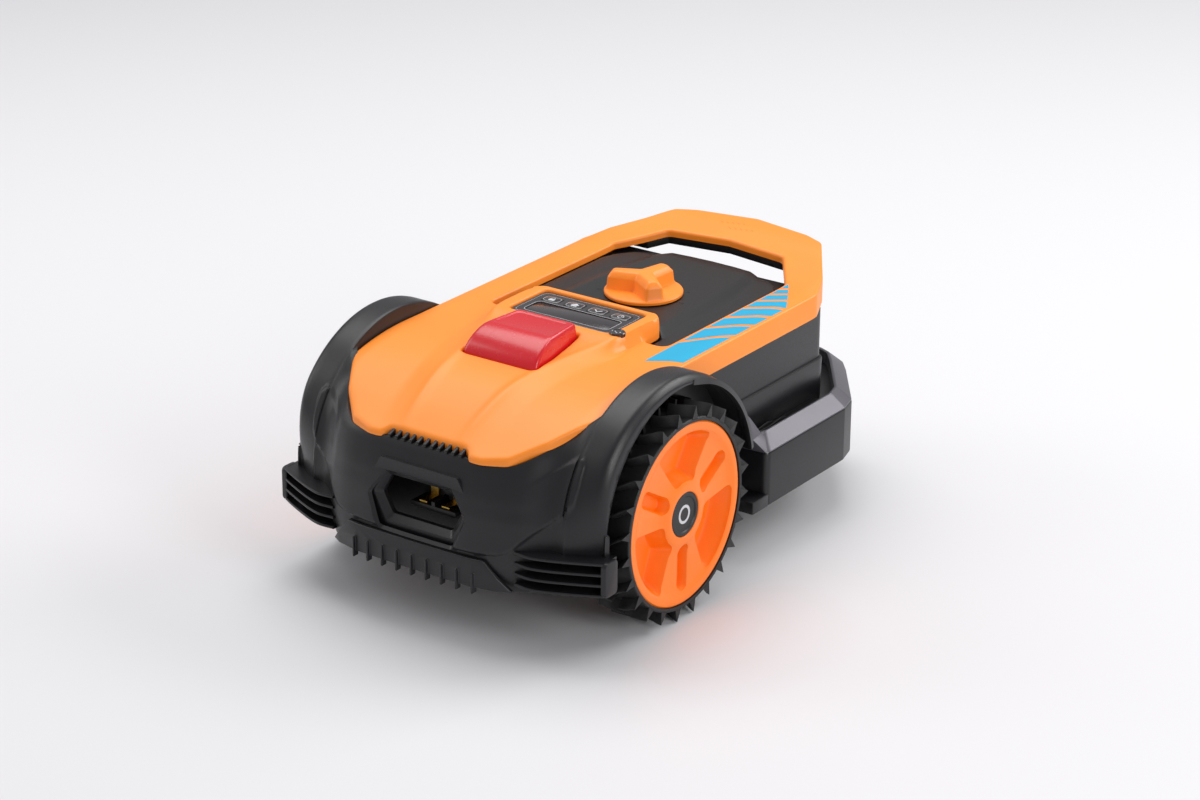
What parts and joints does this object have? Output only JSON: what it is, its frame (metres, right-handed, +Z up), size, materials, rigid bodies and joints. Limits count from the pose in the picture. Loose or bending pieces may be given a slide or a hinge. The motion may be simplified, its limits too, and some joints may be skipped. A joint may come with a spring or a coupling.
{
  "type": "robotic lawn mower",
  "caption": "Low battery lawn mower on large cleated drive wheels, with a domed hood, rear carrying handle, stop button, cutting-height knob and a disc with swinging blades.",
  "frame": {"origin": "centre of the footprint on the ground under the wheels", "axes": "+Z up, -Y towards the charging nose, +X to the machine's right-hand wheel in a view onto its nose"},
  "size_m": [0.352, 0.5546, 0.23],
  "materials": {
    "charcoal_shell": "fine textured charcoal moulded ABS",
    "orange_shell": "satin orange moulded ABS",
    "black_plastic": "fine textured black moulded plastic",
    "gloss_black": "glossy black panel film",
    "stop_red": "semi-gloss red moulded plastic",
    "trim_grey": "grey metallic painted plastic",
    "rim_orange": "satin deep orange moulded plastic",
    "tyre_rubber": "matt moulded rubber",
    "steel": "machined steel",
    "contact_brass": "plated contact strip",
    "circuit_green": "solder mask on board",
    "battery_blue": "shrink film over cells"
  },
  "bodies": {
    "chassis": {"chassis_base": "black_plastic", "front_shell": "charcoal_shell", "bumper_lip": "charcoal_shell", "side_fins_right": "charcoal_shell", "side_fins_left": "charcoal_shell", "hood": "orange_shell", "handle_liner": "black_plastic", "hood_grille": "black_plastic", "deck_cover": "black_plastic", "control_panel": "gloss_black", "display_window": "gloss_black", "rain_sensor": "gloss_black", "stop_switch": "black_plastic", "rear_body": "black_plastic", "rear_base": "black_plastic", "rear_trim": "trim_grey", "louvre_right": "black_plastic", "louvre_left": "black_plastic", "drive_motor_right": "steel", "drive_motor_left": "steel", "battery_pack": "battery_blue", "battery_door": "black_plastic", "circuit_board": "circuit_green", "contact_block": "black_plastic", "charge_contact_right": "contact_brass", "charge_contact_left": "contact_brass"},
    "wheel_right": {"wheel_rim_right": "rim_orange", "tyre_right": "tyre_rubber", "hub_cap_right": "black_plastic", "axle_right": "steel"},
    "wheel_left": {"wheel_rim_left": "rim_orange", "tyre_left": "tyre_rubber", "hub_cap_left": "black_plastic", "axle_left": "steel"},
    "stop_cap": {"stop_button": "stop_red"},
    "adjuster": {"height_knob": "orange_shell", "height_spindle": "steel"},
    "cutting_unit": {"lift_carriage": "black_plastic", "cutting_motor": "steel"},
    "blade_rotor": {"blade_disc": "black_plastic", "blade_screw_1": "steel", "blade_screw_2": "steel", "blade_screw_3": "steel"},
    "rocker": {"power_switch": "stop_red"},
    "panel_key_1": {"key_1": "gloss_black"},
    "panel_key_2": {"key_2": "gloss_black"},
    "panel_key_3": {"key_3": "gloss_black"},
    "panel_key_4": {"key_4": "gloss_black"},
    "blade_arm_1": {"blade_1": "steel"},
    "blade_arm_2": {"blade_2": "steel"},
    "blade_arm_3": {"blade_3": "steel"},
    "castor_right": {"castor_fork_right": "black_plastic", "castor_pin_right": "steel"},
    "castor_roller_right": {"castor_wheel_right": "tyre_rubber"},
    "castor_left": {"castor_fork_left": "black_plastic", "castor_pin_left": "steel"},
    "castor_roller_left": {"castor_wheel_left": "tyre_rubber"}
  },
  "joints": [
    {"name": "wheel_right_spin", "type": "hinge", "parent": "chassis", "child": "wheel_right", "pos_m": [0.1532, -0.1163, 0.0978], "axis": [1, 0, 0], "continuous": true},
    {"name": "wheel_left_spin", "type": "hinge", "parent": "chassis", "child": "wheel_left", "pos_m": [-0.1532, -0.1163, 0.0978], "axis": [1, 0, 0], "continuous": true},
    {"name": "stop_press", "type": "slide", "parent": "chassis", "child": "stop_cap", "axis": [0, 0, -1], "range_m": [0, 0.004], "stiffness_N_per_m": 900, "springref_m": -0.003},
    {"name": "key_1_press", "type": "slide", "parent": "chassis", "child": "panel_key_1", "axis": [0, 0, -1], "range_m": [0, 0.0006], "stiffness_N_per_m": 600, "springref_m": -0.0006},
    {"name": "key_2_press", "type": "slide", "parent": "chassis", "child": "panel_key_2", "axis": [0, 0, -1], "range_m": [0, 0.0006], "stiffness_N_per_m": 600, "springref_m": -0.0006},
    {"name": "key_3_press", "type": "slide", "parent": "chassis", "child": "panel_key_3", "axis": [0, 0, -1], "range_m": [0, 0.0006], "stiffness_N_per_m": 600, "springref_m": -0.0006},
    {"name": "key_4_press", "type": "slide", "parent": "chassis", "child": "panel_key_4", "axis": [0, 0, -1], "range_m": [0, 0.0006], "stiffness_N_per_m": 600, "springref_m": -0.0006},
    {"name": "height_turn", "type": "hinge", "parent": "chassis", "child": "adjuster", "pos_m": [0, 0.0707, 0.207], "axis": [0, 0, 1], "range_deg": [-121, 121]},
    {"name": "cutting_lift", "type": "slide", "parent": "chassis", "child": "cutting_unit", "axis": [0, 0, 1], "range_m": [-0.015, 0.015]},
    {"name": "blade_spin", "type": "hinge", "parent": "cutting_unit", "child": "blade_rotor", "pos_m": [0, 0.0707, 0.042], "axis": [0, 0, 1], "continuous": true},
    {"name": "blade_1_swing", "type": "hinge", "parent": "blade_rotor", "child": "blade_arm_1", "pos_m": [0, 0.1227, 0.0412], "axis": [0, 0, 1], "continuous": true},
    {"name": "blade_2_swing", "type": "hinge", "parent": "blade_rotor", "child": "blade_arm_2", "pos_m": [-0.04503, 0.0447, 0.0412], "axis": [0, 0, 1], "continuous": true},
    {"name": "blade_3_swing", "type": "hinge", "parent": "blade_rotor", "child": "blade_arm_3", "pos_m": [0.04503, 0.0447, 0.0412], "axis": [0, 0, 1], "continuous": true},
    {"name": "castor_right_swivel", "type": "hinge", "parent": "chassis", "child": "castor_right", "pos_m": [0.08, 0.2197, 0.06], "axis": [0, 0, 1], "continuous": true},
    {"name": "castor_right_roll", "type": "hinge", "parent": "castor_right", "child": "castor_roller_right", "pos_m": [0.08, 0.2327, 0.027], "axis": [1, 0, 0], "continuous": true},
    {"name": "castor_left_swivel", "type": "hinge", "parent": "chassis", "child": "castor_left", "pos_m": [-0.08, 0.2197, 0.06], "axis": [0, 0, 1], "continuous": true},
    {"name": "castor_left_roll", "type": "hinge", "parent": "castor_left", "child": "castor_roller_left", "pos_m": [-0.08, 0.2327, 0.027], "axis": [1, 0, 0], "continuous": true},
    {"name": "power_rock", "type": "hinge", "parent": "chassis", "child": "rocker", "pos_m": [0, 0.2717, 0.074], "axis": [1, 0, 0], "range_deg": [-6, 6]}
  ],
  "couplings": [
    {"joint": "height_turn", "follows": "cutting_lift", "rad_per_m": 139.63}
  ]
}
